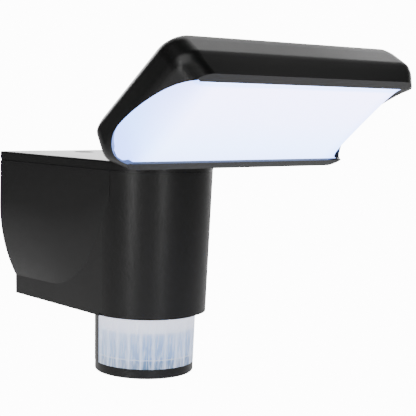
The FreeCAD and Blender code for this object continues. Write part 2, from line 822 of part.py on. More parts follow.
def sensor_cap():
    cap = rod(cap_radius, 0, sensor_axis_y, sensor_bottom_z, lens_bottom_z)
    rim = [e for e in cap.Edges if e.BoundBox.ZMax < sensor_bottom_z + 0.1]
    cap = cap.makeFillet(1.4, rim)
    cap = cap.cut(rod(cap_radius - 2.6, 0, sensor_axis_y, sensor_bottom_z + 2.5, lens_bottom_z + 1))
    pillars = [rod(2.2, x, y, sensor_bottom_z + sensor_floor, -80.0) for x, y in cap_pillars()]
    bosses = [rod(3.2, x, y, sensor_bottom_z + sensor_floor, lens_bottom_z) for x, y in frame_posts()]
    cap = joined(cap, pillars + bosses)
    holes = []
    for x, y in knob_places():
        holes.append(rod(knob_radius + 0.3, x, y, sensor_bottom_z - 1, sensor_bottom_z + 4))
    for x, y in frame_posts():
        holes.append(rod(1.7, x, y, sensor_bottom_z - 1, lens_bottom_z + 1))
        holes.append(rod(3.0, x, y, sensor_bottom_z - 1, sensor_bottom_z + 1.6))
    return cap.cut(holes)


def cap_screws():
    screws = []
    for x, y in frame_posts():
        head = rod(2.7, x, y, sensor_bottom_z + 0.3, sensor_bottom_z + 1.6)
        screws.append(head.fuse(rod(1.4, x, y, sensor_bottom_z + 1.6, lens_bottom_z + 6)))
    return Part.makeCompound(screws)


def sensor_retainer():
    floor_z = housing_bottom + floor_wall
    return tube(23.0, sensor_spigot_radius, 0, sensor_axis_y, floor_z + 0.3, floor_z + 3.3)


def sensor_board():
    return box(-25, 25, sensor_axis_y + 4.2, sensor_axis_y + 5.8, lens_bottom_z + 4, lens_top_z - 3)


def pyro_sensor():
    can = Part.makeCylinder(4.6, 5.0, Vector(0, sensor_axis_y + 4.2, -69.0), Vector(0, -1, 0))
    brim = Part.makeCylinder(5.0, 0.8, Vector(0, sensor_axis_y + 4.2, -69.0), Vector(0, -1, 0))
    return joined(can, [brim])


def adjuster_board():
    return box(-21, 21, sensor_axis_y - 20, sensor_axis_y - 1, -80.0, -78.6)


def adjusters():
    pots = []
    for x, y in knob_places():
        pot = box(x - 5, x + 5, y - 5, y + 5, -86.0, -80.0)
        pots.append(pot.cut(rod(2.0 + running_gap, x, y, -87, -81.5)))
    return Part.makeCompound(pots)


def setting_knob(x, y):
    knob = rod(knob_radius, x, y, sensor_bottom_z + 0.3, -87.6)
    knob = joined(knob, [rod(2.0, x, y, -88, -82.0)])
    return knob.cut(box(x - 0.8, x + 0.8, y - 4.2, y + 4.2, sensor_bottom_z - 1, sensor_bottom_z + 1.8))


def time_knob():
    return setting_knob(*knob_places()[0])


def light_knob():
    return setting_knob(*knob_places()[1])


# ------------------------------------------------------------------ files

fixed_parts = [housing_body, top_cover, cover_screws, back_panel, wall_bracket, lock_screw, battery_cells,
               battery_holder, cell_contacts, control_board, board_parts, button_switch]
moving_parts = [mode_button, neck_arm, neck_nut, neck_washer, sensor_frame, sensor_lens, sensor_cap,
                cap_screws, sensor_retainer, sensor_board, pyro_sensor, adjuster_board, adjusters,
                time_knob, light_knob]
head_parts = [head_shell, diffuser, hinge_bracket, bracket_screws, hinge_bolt, hinge_nut, hinge_washers,
              panel_seal, panel_backing, solar_cells, panel_glass, reflector_tray, led_chips, led_board,
              heat_spreader, spreader_screws]

os.makedirs("parts", exist_ok=True)
for make_part in fixed_parts + moving_parts + head_parts:
    shape = make_part()
    if make_part in head_parts:
        shape = place_head(shape)
    shape.exportStep("parts/" + make_part.__name__ + ".step")
    print(make_part.__name__, len(shape.Solids), round(shape.Volume, 1), shape.isValid())
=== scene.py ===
import json
import math

import bmesh
import bpy
from mathutils import Matrix, Vector


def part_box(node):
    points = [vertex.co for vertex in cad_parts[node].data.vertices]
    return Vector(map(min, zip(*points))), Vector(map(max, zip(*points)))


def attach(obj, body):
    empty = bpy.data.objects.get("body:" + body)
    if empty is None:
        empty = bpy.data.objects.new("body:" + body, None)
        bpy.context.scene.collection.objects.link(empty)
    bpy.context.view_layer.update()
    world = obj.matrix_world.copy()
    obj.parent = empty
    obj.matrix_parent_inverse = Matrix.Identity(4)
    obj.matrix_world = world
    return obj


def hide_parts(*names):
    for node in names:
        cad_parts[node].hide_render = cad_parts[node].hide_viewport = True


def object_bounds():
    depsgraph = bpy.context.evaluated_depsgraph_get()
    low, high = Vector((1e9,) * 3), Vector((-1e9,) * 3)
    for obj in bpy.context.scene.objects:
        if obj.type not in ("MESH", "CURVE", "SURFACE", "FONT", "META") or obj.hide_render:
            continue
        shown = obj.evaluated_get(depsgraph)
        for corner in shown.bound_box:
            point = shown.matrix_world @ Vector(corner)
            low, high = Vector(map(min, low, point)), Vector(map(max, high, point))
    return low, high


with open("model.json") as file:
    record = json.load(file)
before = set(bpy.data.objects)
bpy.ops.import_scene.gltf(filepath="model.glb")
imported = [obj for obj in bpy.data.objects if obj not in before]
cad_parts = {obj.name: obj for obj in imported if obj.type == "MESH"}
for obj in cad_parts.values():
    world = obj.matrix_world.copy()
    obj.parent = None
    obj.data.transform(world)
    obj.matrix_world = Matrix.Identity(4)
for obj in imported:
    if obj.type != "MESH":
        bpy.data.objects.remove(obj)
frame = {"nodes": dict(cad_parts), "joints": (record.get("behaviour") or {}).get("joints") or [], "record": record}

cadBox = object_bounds()
nodes = frame["nodes"]
print("frame loaded:", len(nodes), "nodes")


def linkObject(name, data):
    thing = bpy.data.objects.new(name, data)
    bpy.context.scene.collection.objects.link(thing)
    return thing


# camera: left of the front and level with the lamp head, looking slightly down, with a slight roll
cameraSettings = {"place": (-0.4904, -0.7319, 0.0980), "forward": (0.65294, 0.75105, -0.09791),
                  "right": (0.75628, -0.65354, 0.03025), "lens": 100.92, "sensor": 36.0,
                  "nearest": 0.01, "farthest": 50.0}


def makeCamera(settings):
    forward = Vector(settings["forward"]).normalized()
    right = Vector(settings["right"])
    right = (right - forward * right.dot(forward)).normalized()
    up = right.cross(forward)
    turn = Matrix((right, up, -forward)).transposed()
    data = bpy.data.cameras.new("camera")
    data.lens = settings["lens"]
    data.sensor_width = settings["sensor"]
    data.clip_start = settings["nearest"]
    data.clip_end = settings["farthest"]
    camera = linkObject("camera", data)
    camera.matrix_world = Matrix.Translation(Vector(settings["place"])) @ turn.to_4x4()
    bpy.context.scene.camera = camera


makeCamera(cameraSettings)
print("camera ready")


# the lamp head's hinge and its tilt at rest, and the upright line that the sensor turns about
joints = {joint["name"]: joint for joint in frame["joints"]}
headSettings = {"tilt": math.radians(38.3)}
hingePlace = Vector(joints["head_tilt"]["pos_m"])
sensorAxis = Vector((0.0, joints["sensor_swivel"]["pos_m"][1], 0.0))


def linkPiece(name, mesh, body):
    piece = linkObject(name, mesh)
    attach(piece, body)
    return piece


def finishMesh(bm, name):
    bmesh.ops.remove_doubles(bm, verts=bm.verts, dist=1e-6)
    bmesh.ops.recalc_face_normals(bm, faces=bm.faces)
    for face in bm.faces:
        face.smooth = True
    mesh = bpy.data.meshes.new(name)
    bm.to_mesh(mesh)
    bm.free()
    return mesh


# shader building helpers

def addSocket(group, name, direction, kind, value=None):
    socket = group.interface.new_socket(name=name, in_out=direction, socket_type=kind)
    if value is not None:
        socket.default_value = value
    return socket


def addNode(tree, kind, **values):
    node = tree.nodes.new(kind)
    for key, value in values.items():
        if hasattr(node, key):
            setattr(node, key, value)
        else:
            node.inputs[key.replace("_", " ")].default_value = value
    return node


def mathNode(tree, operation, first, second=None):
    node = tree.nodes.new("ShaderNodeMath")
    node.operation = operation
    for index, value in enumerate((first, second)):
        if value is None:
            continue
        if isinstance(value, (int, float)):
            node.inputs[index].default_value = value
        else:
            tree.links.new(value, node.inputs[index])
    return node.outputs[0]


def rampNode(tree, factor, stops, mode="LINEAR"):
    node = tree.nodes.new("ShaderNodeValToRGB")
    node.color_ramp.interpolation = mode
    elements = node.color_ramp.elements
    while len(elements) < len(stops):
        elements.new(0.5)
    for element, (place, color) in zip(elements, stops):
        element.position = place
        element.color = (*color, 1.0)
    tree.links.new(factor, node.inputs["Fac"])
    return node.outputs["Color"]


def mixColor(tree, factor, first, second, blend="MIX"):
    node = tree.nodes.new("ShaderNodeMix")
    node.data_type = "RGBA"
    node.blend_type = blend
    for socket, value in ((node.inputs[0], factor), (node.inputs[6], first), (node.inputs[7], second)):
        if isinstance(value, (int, float, tuple)):
            socket.default_value = value
        else:
            tree.links.new(value, socket)
    return node.outputs[2]


mouldedSettings = {"slowScale": 22.0, "slowDetail": 4.0, "slowRoughness": 0.55, "fineDetail": 3.0,
                   "fineRoughness": 0.6, "sparkleShare": 0.6, "toneShare": 1.6}


def makeMouldedGroup():
    # fine spark-eroded texture of moulded plastic with slow tone changes
    group = bpy.data.node_groups.new("mouldedSurface", "ShaderNodeTree")
    addSocket(group, "Tone", "INPUT", "NodeSocketColor", (0.02, 0.02, 0.02, 1.0))
    addSocket(group, "Grain Size", "INPUT", "NodeSocketFloat", 1800.0)
    addSocket(group, "Roughness", "INPUT", "NodeSocketFloat", 0.4)
    addSocket(group, "Variation", "INPUT", "NodeSocketFloat", 0.1)
    addSocket(group, "Color", "OUTPUT", "NodeSocketColor")
    addSocket(group, "Roughness", "OUTPUT", "NodeSocketFloat")
    addSocket(group, "Height", "OUTPUT", "NodeSocketFloat")
    start = group.nodes.new("NodeGroupInput")
    end = group.nodes.new("NodeGroupOutput")
    place = group.nodes.new("ShaderNodeTexCoord").outputs["Object"]
    fine = addNode(group, "ShaderNodeTexNoise", Detail=mouldedSettings["fineDetail"],
                   Roughness=mouldedSettings["fineRoughness"])
    group.links.new(place, fine.inputs["Vector"])
    group.links.new(start.outputs["Grain Size"], fine.inputs["Scale"])
    slow = addNode(group, "ShaderNodeTexNoise", Scale=mouldedSettings["slowScale"],
                   Detail=mouldedSettings["slowDetail"], Roughness=mouldedSettings["slowRoughness"])
    group.links.new(place, slow.inputs["Vector"])
    shift = mathNode(group, "SUBTRACT", slow.outputs["Fac"], 0.5)
    shift = mathNode(group, "MULTIPLY", shift, start.outputs["Variation"])
    sparkle = mathNode(group, "SUBTRACT", fine.outputs["Fac"], 0.5)
    sparkle = mathNode(group, "MULTIPLY", sparkle, start.outputs["Variation"])
    rough = mathNode(group, "ADD", start.outputs["Roughness"], shift)
    sparkle = mathNode(group, "MULTIPLY", sparkle, mouldedSettings["sparkleShare"])
    rough = mathNode(group, "ADD", rough, sparkle)
    group.links.new(rough, end.inputs["Roughness"])
    lift = mathNode(group, "ADD", mathNode(group, "MULTIPLY", shift, mouldedSettings["toneShare"]), 1.0)
    scaled = group.nodes.new("ShaderNodeVectorMath")
    scaled.operation = "SCALE"
    group.links.new(start.outputs["Tone"], scaled.inputs[0])
    group.links.new(lift, scaled.inputs["Scale"])
    group.links.new(scaled.outputs[0], end.inputs["Color"])
    group.links.new(fine.outputs["Fac"], end.inputs["Height"])
    return group


dustSettings = {"color": (0.35, 0.34, 0.32, 1.0), "patchScale": 140.0, "patchDetail": 5.0}


def makeDustGroup():
    # a thin film of dust where the surface looks up, broken by noise
    group = bpy.data.node_groups.new("settledDust", "ShaderNodeTree")
    addSocket(group, "Color", "INPUT", "NodeSocketColor", (0.02, 0.02, 0.02, 1.0))
    addSocket(group, "Amount", "INPUT", "NodeSocketFloat", 0.1)
    addSocket(group, "Color", "OUTPUT", "NodeSocketColor")
    start = group.nodes.new("NodeGroupInput")
    end = group.nodes.new("NodeGroupOutput")
    normal = group.nodes.new("ShaderNodeNewGeometry").outputs["Normal"]
    split = group.nodes.new("ShaderNodeSeparateXYZ")
    group.links.new(normal, split.inputs[0])
    up = mathNode(group, "MAXIMUM", split.outputs["Z"], 0.0)
    place = group.nodes.new("ShaderNodeTexCoord").outputs["Object"]
    noise = addNode(group, "ShaderNodeTexNoise", Scale=dustSettings["patchScale"],
                    Detail=dustSettings["patchDetail"])
    group.links.new(place, noise.inputs["Vector"])
    mask = mathNode(group, "MULTIPLY", up, noise.outputs["Fac"])
    mask = mathNode(group, "MULTIPLY", mask, start.outputs["Amount"])
    mixed = mixColor(group, mask, start.outputs["Color"], dustSettings["color"])
    group.links.new(mixed, end.inputs["Color"])
    return group


mouldedGroup = makeMouldedGroup()
dustGroup = makeDustGroup()


def startMaterial(name, **values):
    # values go straight onto the shader's own sockets
    material = bpy.data.materials.new(name)
    material.use_nodes = True
    tree = material.node_tree
    shader = tree.nodes["Principled BSDF"]
    for key, value in values.items():
        shader.inputs[key.replace("_", " ")].default_value = value
    return material, tree, shader


def useGroup(tree, group, **values):
    node = tree.nodes.new("ShaderNodeGroup")
    node.node_tree = group
    for key, value in values.items():
        node.inputs[key.replace("_", " ")].default_value = value
    return node


def addBump(tree, shader, height, strength, distance):
    bump = addNode(tree, "ShaderNodeBump", Strength=strength, Distance=distance)
    tree.links.new(height, bump.inputs["Height"])
    tree.links.new(bump.outputs["Normal"], shader.inputs["Normal"])


def mouldedPlastic(look):
    material, tree, shader = startMaterial(look["name"], IOR=1.5)
    surface = useGroup(tree, mouldedGroup, Tone=(*look["color"], 1.0), Grain_Size=look["grain"],
                       Roughness=look["roughness"], Variation=look["variation"])
    color = surface.outputs["Color"]
    if "dust" in look:
        dust = useGroup(tree, dustGroup, Amount=look["dust"])
        tree.links.new(color, dust.inputs["Color"])
        color = dust.outputs["Color"]
    tree.links.new(color, shader.inputs["Base Color"])
    tree.links.new(surface.outputs["Roughness"], shader.inputs["Roughness"])
    addBump(tree, shader, surface.outputs["Height"], look["bump"], look["depth"])
    return material


def turnedMetal(look):
    material, tree, shader = startMaterial(look["name"], Metallic=1.0)
    surface = useGroup(tree, mouldedGroup, Tone=(*look["color"], 1.0), Grain_Size=look["grain"],
                       Roughness=look["roughness"], Variation=look["variation"])
    tree.links.new(surface.outputs["Color"], shader.inputs["Base Color"])
    tree.links.new(surface.outputs["Roughness"], shader.inputs["Roughness"])
    addBump(tree, shader, surface.outputs["Height"], look["bump"], look["depth"])
    return material


plasticLooks = {
    "black_casing": {"name": "satinBlackPlastic", "color": (0.0035, 0.0034, 0.0034), "roughness": 0.36,
                     "grain": 950.0, "variation": 0.12, "bump": 0.22, "depth": 0.00010, "dust": 0.02},
    "inner_plastic": {"name": "innerBlackPlastic", "color": (0.03, 0.03, 0.031), "roughness": 0.5,
                      "grain": 1500.0, "variation": 0.12, "bump": 0.2, "depth": 0.0001},
    "bracket_plastic": {"name": "bracketPlastic", "color": (0.02, 0.02, 0.02), "roughness": 0.48,
                        "grain": 1800.0, "variation": 0.12, "bump": 0.25, "depth": 0.0001},
    "washer_plastic": {"name": "nylonWasher", "color": (0.72, 0.71, 0.66), "roughness": 0.42,
                       "grain": 900.0, "variation": 0.08, "bump": 0.1, "depth": 0.0001},
    "component_black": {"name": "componentPlastic", "color": (0.02, 0.02, 0.022), "roughness": 0.45,
                        "grain": 2200.0, "variation": 0.1, "bump": 0.2, "depth": 0.0001},
    "button_rubber": {"name": "buttonRubber", "color": (0.018, 0.018, 0.019), "roughness": 0.62,
                      "grain": 2400.0, "variation": 0.12, "bump": 0.35, "depth": 0.00012, "dust": 0.08},
    "seal_rubber": {"name": "foamSeal", "color": (0.02, 0.02, 0.02), "roughness": 0.85,
                    "grain": 3200.0, "variation": 0.1, "bump": 0.8, "depth": 0.0003},
    "backing_white": {"name": "panelBacking", "color": (0.8, 0.8, 0.8), "roughness": 0.5,
                      "grain": 1200.0, "variation": 0.06, "bump": 0.1, "depth": 0.0001},
    "tray_white": {"name": "reflectorWhite", "color": (0.86, 0.87, 0.88), "roughness": 0.45,
                   "grain": 1500.0, "variation": 0.06, "bump": 0.1, "depth": 0.0001},
    "led_board_white": {"name": "whiteSolderMask", "color": (0.82, 0.83, 0.84), "roughness": 0.3,
                        "grain": 900.0, "variation": 0.05, "bump": 0.08, "depth": 0.0001},
    "knob_grey": {"name": "dialPlastic", "color": (0.28, 0.285, 0.29), "roughness": 0.42,
                  "grain": 2000.0, "variation": 0.1, "bump": 0.2, "depth": 0.0001, "dust": 0.05},
    "cell_wrap": {"name": "cellSleeve", "color": (0.04, 0.16, 0.32), "roughness": 0.28,
                  "grain": 500.0, "variation": 0.08, "bump": 0.06, "depth": 0.0001},
    "chip_yellow": {"name": "ledPhosphor", "color": (0.85, 0.62, 0.12), "roughness": 0.35,
                    "grain": 2500.0, "variation": 0.06, "bump": 0.1, "depth": 0.0001},
}

metalLooks = {
    "hinge_metal": {"name": "hingeSteelBlack", "color": (0.06, 0.06, 0.062), "roughness": 0.42,
                    "grain": 1600.0, "variation": 0.12, "bump": 0.15, "depth": 0.00005},
    "steel": {"name": "zincedSteel", "color": (0.55, 0.55, 0.54), "roughness": 0.34,
              "grain": 700.0, "variation": 0.18, "bump": 0.15, "depth": 0.00005},
    "nickel": {"name": "nickelStrip", "color": (0.62, 0.6, 0.56), "roughness": 0.25,
               "grain": 900.0, "variation": 0.12, "bump": 0.15, "depth": 0.00005},
    "aluminium_plate": {"name": "rolledAluminium", "color": (0.74, 0.75, 0.76), "roughness": 0.35,
                        "grain": 400.0, "variation": 0.16, "bump": 0.15, "depth": 0.00005},
}


boardLook = {"roughness": 0.32, "coat": 0.3, "trackScale": 260.0, "trackWidth": 0.06, "trackBlur": 0.2,
             "mask": (0.008, 0.07, 0.025), "track": (0.03, 0.19, 0.07), "bump": 0.3, "depth": 0.00005}


def boardMaterial():
    # green solder mask over copper tracks
    material, tree, shader = startMaterial("circuitBoard", Roughness=boardLook["roughness"],
                                           Coat_Weight=boardLook["coat"])
    place = tree.nodes.new("ShaderNodeTexCoord").outputs["Object"]
    tracks = addNode(tree, "ShaderNodeTexBrick", Scale=boardLook["trackScale"],
                     Mortar_Size=boardLook["trackWidth"], Mortar_Smooth=boardLook["trackBlur"])
    tree.links.new(place, tracks.inputs["Vector"])
    color = rampNode(tree, tracks.outputs["Fac"], [(0.0, boardLook["mask"]), (1.0, boardLook["track"])])
    tree.links.new(color, shader.inputs["Base Color"])
    addBump(tree, shader, tracks.outputs["Fac"], boardLook["bump"], boardLook["depth"])
    return material


def headCoordinates(tree):
    # coordinates along the lamp head: X across, Y backwards, Z out of the panel, zero at the hinge
    place = tree.nodes.new("ShaderNodeTexCoord").outputs["Object"]
    shift = tree.nodes.new("ShaderNodeVectorMath")
    shift.operation = "SUBTRACT"
    shift.inputs[1].default_value = hingePlace
    tree.links.new(place, shift.inputs[0])
    turn = tree.nodes.new("ShaderNodeMapping")
    turn.inputs["Rotation"].default_value = (headSettings["tilt"], 0.0, 0.0)
    tree.links.new(shift.outputs[0], turn.inputs["Vector"])
    split = tree.nodes.new("ShaderNodeSeparateXYZ")
    tree.links.new(turn.outputs[0], split.inputs[0])
    return turn.outputs[0], split


cellLook = {"roughness": 0.25, "coat": 0.5, "coatRoughness": 0.08, "mottleScale": 190.0,
            "blues": [(0.2, (0.004, 0.007, 0.022)), (0.8, (0.010, 0.018, 0.055))],
            "silver": (0.45, 0.46, 0.48, 1.0), "silverMetal": 0.7, "fingerTone": 0.45,
            "fingerPitch": 0.0016, "fingerWidth": 0.12, "busPitch": 0.0082, "busWidth": 0.13,
            "bump": 0.3, "depth": 0.00006}


def printedLines(tree, distance, pitch, width):
    # lines one pitch apart, each as wide as the given share of the pitch
    share = mathNode(tree, "FRACT", mathNode(tree, "DIVIDE", distance, pitch))
    return mathNode(tree, "LESS_THAN", share, width)


def cellMaterial():
    # dark blue silicon with silver fingers and bus bars
    material, tree, shader = startMaterial("siliconCells", Roughness=cellLook["roughness"],
                                           Coat_Weight=cellLook["coat"],
                                           Coat_Roughness=cellLook["coatRoughness"])
    place, split = headCoordinates(tree)
    mottle = addNode(tree, "ShaderNodeTexVoronoi", Scale=cellLook["mottleScale"])
    tree.links.new(place, mottle.inputs["Vector"])
    blue = rampNode(tree, mottle.outputs["Color"], cellLook["blues"])
    fingers = printedLines(tree, split.outputs["Y"], cellLook["fingerPitch"], cellLook["fingerWidth"])
    bars = printedLines(tree, split.outputs["X"], cellLook["busPitch"], cellLook["busWidth"])
    lines = mathNode(tree, "MAXIMUM", mathNode(tree, "MULTIPLY", fingers, cellLook["fingerTone"]), bars)
    color = mixColor(tree, lines, blue, cellLook["silver"])
    tree.links.new(color, shader.inputs["Base Color"])
    tree.links.new(mathNode(tree, "MULTIPLY", lines, cellLook["silverMetal"]), shader.inputs["Metallic"])
    addBump(tree, shader, lines, cellLook["bump"], cellLook["depth"])
    return material


glassLook = {"tint": (0.93, 0.96, 0.97, 1.0), "roughness": 0.05, "grain": 500.0, "variation": 0.04,
             "bump": 0.04, "depth": 0.00005}


def glassMaterial():
    material, tree, shader = startMaterial("panelGlass", Transmission_Weight=1.0, IOR=1.5, Metallic=0.0)
    surface = useGroup(tree, mouldedGroup, Tone=glassLook["tint"], Grain_Size=glassLook["grain"],
                       Roughness=glassLook["roughness"], Variation=glassLook["variation"])
    tree.links.new(surface.outputs["Color"], shader.inputs["Base Color"])
    tree.links.new(surface.outputs["Roughness"], shader.inputs["Roughness"])
    addBump(tree, shader, surface.outputs["Height"], glassLook["bump"], glassLook["depth"])
    return material


# the sheet glows with painted light; the tones are painted shade running from the hinge side to the free edge, the
# end tones painted shade, darker and cooler, outwards to each end
diffuserLook = {"paintedGlow": 8.5, "roughness": 0.33, "grain": 2200.0, "variation": 0.05,
                "bump": 0.05, "depth": 0.0001, "subsurface": 0.25, "subsurfaceDepth": 0.004,
                "paintedShadeFrom": 0.026, "paintedShadeLength": 0.074,
                "tones": [(0.0, (0.38, 0.50, 0.94)), (0.10, (0.40, 0.54, 0.96)), (0.18, (0.42, 0.58, 1.0)),
                          (0.55, (0.55, 0.60, 1.0)), (0.92, (0.62, 0.62, 1.0)), (0.955, (0.34, 0.50, 1.0)),
                          (1.0, (0.56, 0.62, 1.0))],
                "endShadeFrom": 0.070, "endShadeLength": 0.016,
                "paintedEndShade": [(0.0, (1.0, 1.0, 1.0)), (0.5, (0.80, 0.87, 0.98)), (1.0, (0.44, 0.54, 0.76))]}


def shareAlong(tree, distance, start, length):
    return mathNode(tree, "DIVIDE", mathNode(tree, "SUBTRACT", distance, start), length)


def diffuserMaterial():
    # opal sheet that glows with painted light: bright in the middle, with painted shade, darker and cooler,
    # towards both ends and both long sides
    look = diffuserLook
    material, tree, shader = startMaterial("opalDiffuserPaintedLight", IOR=1.49, Subsurface_Weight=look["subsurface"],
                                           Subsurface_Scale=look["subsurfaceDepth"],
                                           Emission_Strength=look["paintedGlow"])
    split = headCoordinates(tree)[1]
    ahead = mathNode(tree, "MULTIPLY", split.outputs["Y"], -1.0)
    # painted shade from the hinge side to the free edge
    tone = rampNode(tree, shareAlong(tree, ahead, look["paintedShadeFrom"], look["paintedShadeLength"]), look["tones"])
    across = mathNode(tree, "ABSOLUTE", split.outputs["X"])
    # painted shade, darker and cooler, towards each end
    ends = rampNode(tree, shareAlong(tree, across, look["endShadeFrom"], look["endShadeLength"]), look["paintedEndShade"])
    tone = mixColor(tree, 1.0, tone, ends, "MULTIPLY")
    tree.links.new(tone, shader.inputs["Base Color"])
    # the painted shade colours also tint the painted light the sheet glows with
    tree.links.new(tone, shader.inputs["Emission Color"])
    surface = useGroup(tree, mouldedGroup, Grain_Size=look["grain"], Roughness=look["roughness"],
                       Variation=look["variation"])
    tree.links.new(surface.outputs["Roughness"], shader.inputs["Roughness"])
    addBump(tree, shader, surface.outputs["Height"], look["bump"], look["depth"])
    return material


materials = {slotName: mouldedPlastic(look) for slotName, look in plasticLooks.items()}
materials.update({slotName: turnedMetal(look) for slotName, look in metalLooks.items()})
materials["circuit_board"] = boardMaterial()
materials["cell_blue"] = cellMaterial()
materials["panel_cover"] = glassMaterial()
materials["diffuser_white"] = diffuserMaterial()
print("materials ready")


# milky sensor lens: a ribbed wall whose vertical bands bulge a little, outside and inside
lensShape = {"halfAngle": math.radians(104.0), "bands": 15, "stepsPerBand": 8, "wall": 0.0013,
             "taper": 0.0006, "bulge": 0.00032, "innerBulge": 0.0004, "sharpAngle": math.radians(40.0)}
bandAngle = 2 * lensShape["halfAngle"] / lensShape["bands"]


def sensorLens(material):
    low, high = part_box("sensor_lens")
    outside = high.x
    inside = outside - lensShape["wall"]
    taper = lensShape["taper"]
    profile = [(outside - taper, low.z), (outside, high.z), (inside, high.z), (inside - taper, low.z)]
    start = -math.pi / 2 - lensShape["halfAngle"]
    bm = bmesh.new()
    corners = []
    for radius, height in profile:
        offset = Vector((radius * math.cos(start), radius * math.sin(start), height))
        corners.append(bm.verts.new(sensorAxis + offset))
    bmesh.ops.spin(bm, geom=[bm.faces.new(corners)], cent=sensorAxis, axis=(0.0, 0.0, 1.0),
                   angle=2 * lensShape["halfAngle"], steps=lensShape["bands"] * lensShape["stepsPerBand"],
                   use_duplicate=False)
    middle = outside - (lensShape["wall"] + taper) / 2
    for vert in bm.verts:
        flat = Vector((vert.co.x, vert.co.y, 0.0)) - sensorAxis
        angle = math.atan2(flat.x, -flat.y) + lensShape["halfAngle"]
        wave = math.sin(math.pi * ((angle / bandAngle) % 1.0))
        if flat.length > middle:
            move = lensShape["bulge"] * (wave - 1.0)
        else:
            move = -lensShape["innerBulge"] * wave
        vert.co += flat.normalized() * move
    mesh = finishMesh(bm, "sensorLens")
    lens = linkPiece("sensorLensRibbed", mesh, "sensor")
    mesh.materials.append(material)
    split = lens.modifiers.new("sharpEdges", "EDGE_SPLIT")
    split.split_angle = lensShape["sharpAngle"]
    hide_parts("sensor_lens")


# three tiers of facets: bright narrow ones above, bluish ones in the middle, darker ones below; the lens glows
# with painted light
lensLook = {"paintedGlow": 1.7, "topTier": 0.73, "lowTier": 0.18, "tierLine": 0.012, "tierLineTone": 0.22,
            "tones": [(0.0, (0.07, 0.13, 0.23)), (0.14, (0.07, 0.14, 0.27)), (0.24, (0.14, 0.24, 0.44)),
                      (0.45, (0.18, 0.28, 0.49)), (0.66, (0.28, 0.38, 0.60)), (0.78, (0.60, 0.64, 0.80)),
                      (1.0, (0.70, 0.72, 0.86))],
            "milk": (0.72, 0.76, 0.88, 1.0), "line": (0.80, 0.83, 0.92, 1.0), "narrowing": 2.0,
            "paintedHighlightFrom": 0.30, "paintedEdgeHighlight": 0.42, "facetTone": 0.30,
            "streakAcross": 14.0, "streakAlong": 60.0, "streakScale": 1.6, "streakDetail": 3.0,
            "streakFrom": 0.46, "streakTo": 0.68, "streakTone": 0.40,
            "roughness": 0.3, "grain": 1500.0, "variation": 0.06, "bump": 0.05, "depth": 0.0001,
            "subsurface": 0.15, "subsurfaceDepth": 0.003, "sheen": 0.6, "sheenRoughness": 0.4}


def lensCoordinates(tree):
    # the height, its share of the lens from 0 to 1, and the angle round the sensor from the front
    place = tree.nodes.new("ShaderNodeTexCoord").outputs["Object"]
    shift = tree.nodes.new("ShaderNodeVectorMath")
    shift.operation = "SUBTRACT"
    shift.inputs[1].default_value = sensorAxis
    tree.links.new(place, shift.inputs[0])
    split = tree.nodes.new("ShaderNodeSeparateXYZ")
    tree.links.new(shift.outputs[0], split.inputs[0])
    low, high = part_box("sensor_lens")
    level = shareAlong(tree, split.outputs["Z"], low.z, high.z - low.z)
    ahead = mathNode(tree, "MULTIPLY", split.outputs["Y"], -1.0)
    angle = mathNode(tree, "ARCTAN2", split.outputs["X"], ahead)
    return split.outputs["Z"], level, angle


def greyRamp(tree, factor, start, end, tone):
    # black up to the start, then rising to the given grey
    return rampNode(tree, factor, [(start, (0.0, 0.0, 0.0)), (end, (tone, tone, tone))])


